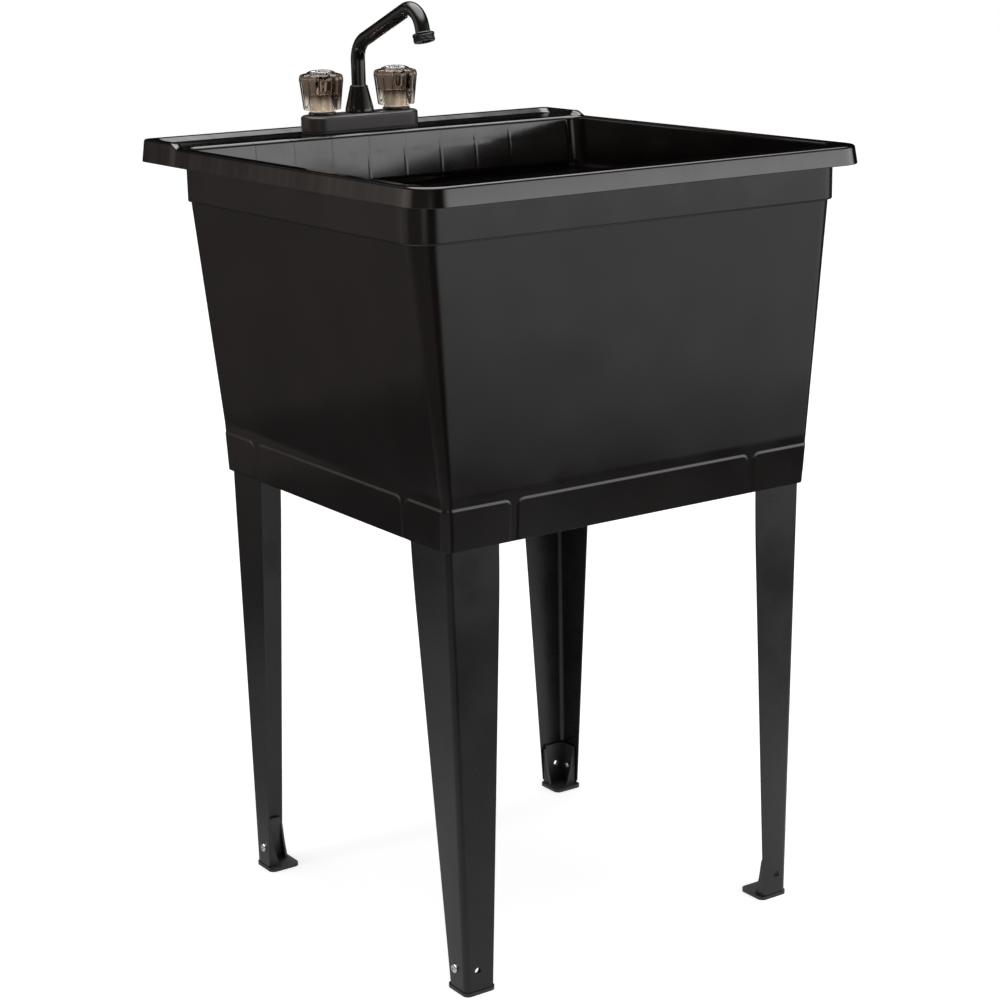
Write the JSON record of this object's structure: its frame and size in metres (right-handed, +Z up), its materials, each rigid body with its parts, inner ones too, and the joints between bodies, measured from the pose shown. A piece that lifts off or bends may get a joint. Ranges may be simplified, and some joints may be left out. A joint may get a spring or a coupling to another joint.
{
  "type": "utility laundry sink",
  "caption": "Freestanding laundry sink: deep one-piece tub on angled steel legs with feet, two-knob tap with swivel spout, drain and plug.",
  "frame": {"origin": "on the floor, under the middle of the rim", "axes": "+X to the right of a person at the sink, +Y to the wall behind it, +Z up"},
  "size_m": [0.57, 0.6, 1.0152],
  "materials": {
    "tub_plastic": "glossy moulded plastic with a fine surface",
    "leg_paint": "satin black enamel on sheet steel",
    "foot_plastic": "satin moulded plastic",
    "zinc": "bright zinc plate",
    "drain_steel": "stainless steel",
    "rubber": "matte rubber",
    "white_plastic": "satin",
    "grey_plastic": "satin",
    "tap_plastic": "semi-gloss moulded plastic",
    "smoked_acrylic": "clear, smoke tinted",
    "frosted_plastic": "frosted, translucent",
    "clear_acrylic": "clear"
  },
  "bodies": {
    "sink": {"tub": "tub_plastic", "leg_front_left": "leg_paint", "foot_front_left": "foot_plastic", "foot_bolt_front_left": "zinc", "foot_nut_front_left": "zinc", "leg_front_right": "leg_paint", "foot_front_right": "foot_plastic", "foot_bolt_front_right": "zinc", "foot_nut_front_right": "zinc", "leg_rear_left": "leg_paint", "foot_rear_left": "foot_plastic", "foot_bolt_rear_left": "zinc", "foot_nut_rear_left": "zinc", "leg_rear_right": "leg_paint", "foot_rear_right": "foot_plastic", "foot_bolt_rear_right": "zinc", "foot_nut_rear_right": "zinc", "drain_flange": "drain_steel", "drain_gasket": "rubber", "drain_friction_washer": "white_plastic", "drain_locknut": "grey_plastic", "tailpiece": "white_plastic", "tailpiece_washer": "rubber", "slip_nut": "white_plastic", "tap_gasket": "rubber", "tap_waterway": "grey_plastic", "tap_cover": "tap_plastic", "bonnet_ring_left": "tap_plastic", "mount_washer_left": "rubber", "mount_nut_left": "grey_plastic", "bonnet_ring_right": "tap_plastic", "mount_washer_right": "rubber", "mount_nut_right": "grey_plastic", "spout_nut": "tap_plastic"},
    "hot_knob": {"knob_left": "smoked_acrylic", "knob_core_left": "frosted_plastic", "knob_screw_left": "zinc", "knob_cap_left": "clear_acrylic", "stem_left": "white_plastic"},
    "cold_knob": {"knob_right": "smoked_acrylic", "knob_core_right": "frosted_plastic", "knob_screw_right": "zinc", "knob_cap_right": "clear_acrylic", "stem_right": "white_plastic"},
    "spout": {"spout_tube": "tap_plastic", "spout_seal": "rubber", "spout_nozzle": "tap_plastic", "spout_strainer": "drain_steel"},
    "plug": {"plug": "rubber"}
  },
  "joints": [
    {"name": "hot_knob_turn", "type": "hinge", "parent": "sink", "child": "hot_knob", "pos_m": [-0.0698, 0.251, 0.89], "axis": [0, 0, 1], "range_deg": [0, 90]},
    {"name": "cold_knob_turn", "type": "hinge", "parent": "sink", "child": "cold_knob", "pos_m": [0.0318, 0.251, 0.89], "axis": [0, 0, 1], "range_deg": [-90, 0]},
    {"name": "spout_swivel", "type": "hinge", "parent": "sink", "child": "spout", "pos_m": [-0.019, 0.251, 0.89], "axis": [0, 0, 1], "continuous": true},
    {"name": "plug_lift", "type": "slide", "parent": "sink", "child": "plug", "axis": [0, 0, 1], "range_m": [0, 0.06]}
  ]
}
